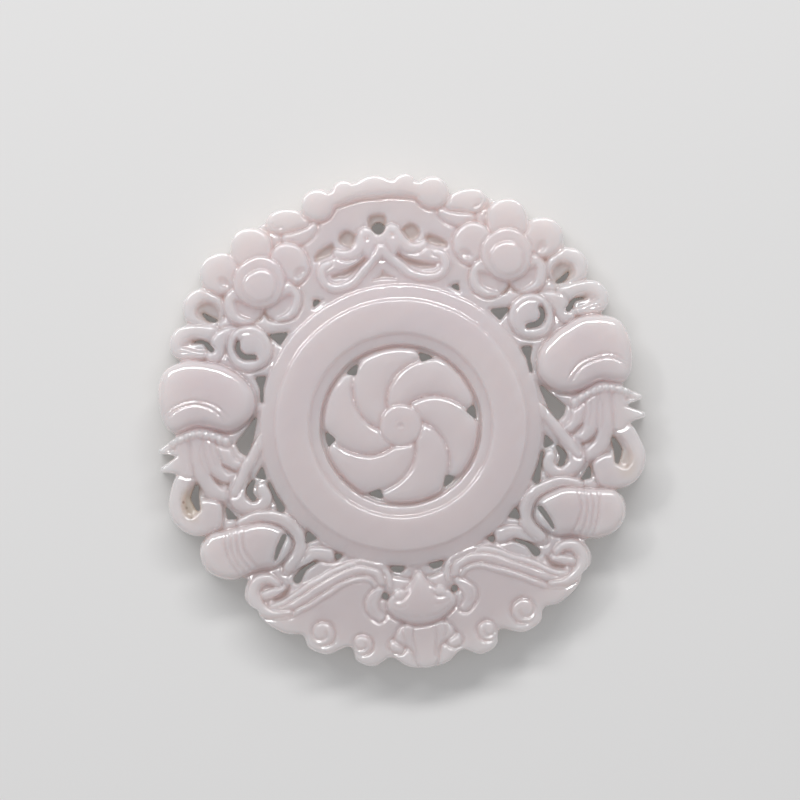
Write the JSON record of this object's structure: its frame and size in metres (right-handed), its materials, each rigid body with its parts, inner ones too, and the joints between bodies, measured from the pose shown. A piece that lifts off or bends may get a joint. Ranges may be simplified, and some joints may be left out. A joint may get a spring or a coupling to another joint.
{
  "type": "openwork jade pendant disc",
  "caption": "Round pierced stone pendant disc with a flat back, a plain raised ring, a swirling centre and a scalloped carved border.",
  "frame": {"origin": "centre of the plain ring, on the flat back face", "axes": "+Z out of the carved face, +Y from the ring's centre toward the string hole, +X to the right as the carved face is seen"},
  "size_m": [0.0582, 0.059, 0.006],
  "materials": {
    "jade": "polished, slightly see-through"
  },
  "bodies": {
    "root": {"openwork_disc": "jade"}
  },
  "joints": []
}
